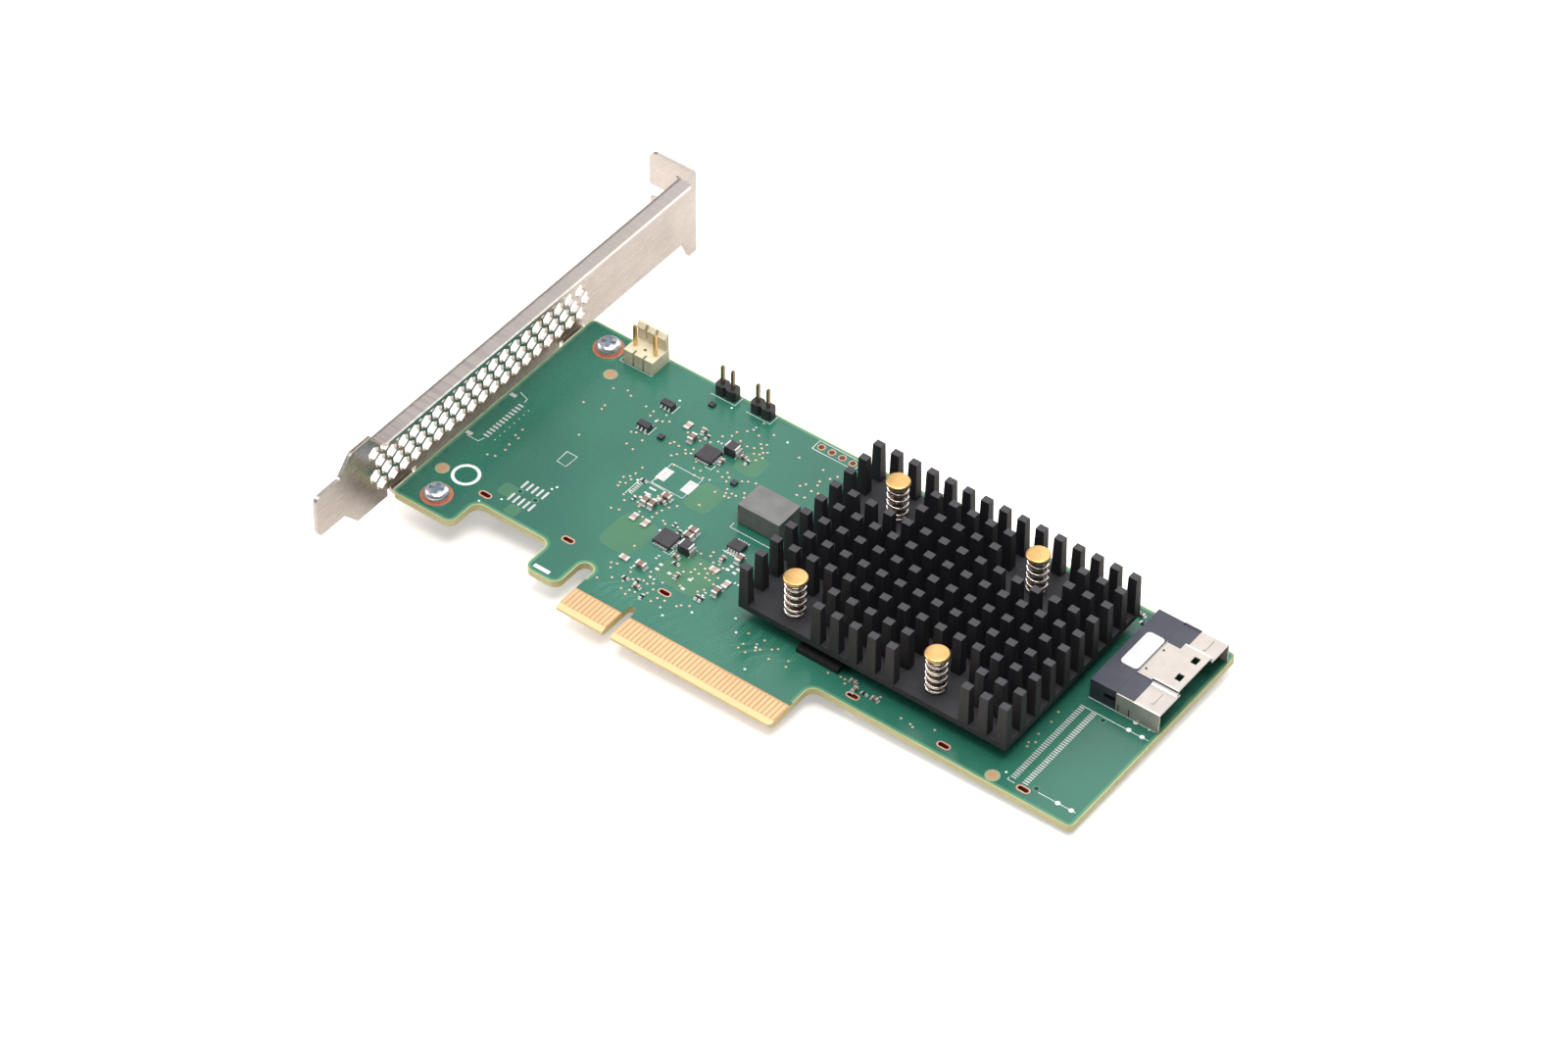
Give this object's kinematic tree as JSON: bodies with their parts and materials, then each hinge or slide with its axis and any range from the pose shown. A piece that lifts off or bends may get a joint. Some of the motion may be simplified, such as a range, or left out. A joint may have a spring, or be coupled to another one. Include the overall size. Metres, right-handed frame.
{
  "type": "raid controller card",
  "caption": "Low-profile drive controller expansion card with edge contacts, pin-fin heatsink on sprung pins, drive connector and full-height vented bracket.",
  "frame": {"origin": "centre of the key notch on the insertion edge, on the component side's surface", "axes": "+X from the bracket towards the drive connector, +Y away from the slot, +Z out of the component side"},
  "size_m": [0.1694, 0.12, 0.0232],
  "materials": {
    "laminate": "green solder mask over laminate, semi-gloss",
    "gold": "gold plated copper",
    "bracket": "nickel plated steel, fine satin",
    "screw": "zinc plated",
    "sink": "black anodised",
    "pin_brass": "machined brass",
    "spring": "nickel plated wire",
    "substrate": "package substrate",
    "lid": "nickel plated lid",
    "pad": "soft thermal pad",
    "package": "black moulding compound",
    "ferrite": "pressed powder, matt grey",
    "solder": "tinned, bright",
    "connector": "glass filled plastic, dark grey",
    "shell": "nickel plated sheet",
    "label": "blank white label",
    "header_black": "black plastic",
    "header_ivory": "ivory nylon",
    "ceramic_body": "tan ceramic",
    "resistor_body": "black glazed"
  },
  "bodies": {
    "root": {"circuit_board": "laminate", "front_edge_contacts": "gold", "back_edge_contacts": "gold", "mounting_bracket": "bracket", "bracket_screws": "screw", "heatsink": "sink", "push_pins": "pin_brass", "push_pin_springs": "spring", "controller_chip": "substrate", "controller_chip_lid": "lid", "thermal_pad": "pad", "memory_chip": "package", "power_inductor": "ferrite", "inductor_terminals": "solder", "drive_connector_housing": "connector", "drive_connector_shell": "shell", "drive_connector_contacts": "gold", "drive_connector_label": "label", "two_pin_headers": "header_black", "two_pin_header_pins": "gold", "lock_header": "header_ivory", "lock_header_pins": "gold", "regulator_chips": "package", "six_lead_chips": "package", "six_lead_chip_leads": "solder", "driver_chip": "package", "driver_chip_leads": "solder", "power_diodes": "package", "power_diode_terminals": "solder", "ceramic_capacitors": "ceramic_body", "resistors": "resistor_body", "logic_chips": "package"}
  },
  "joints": []
}
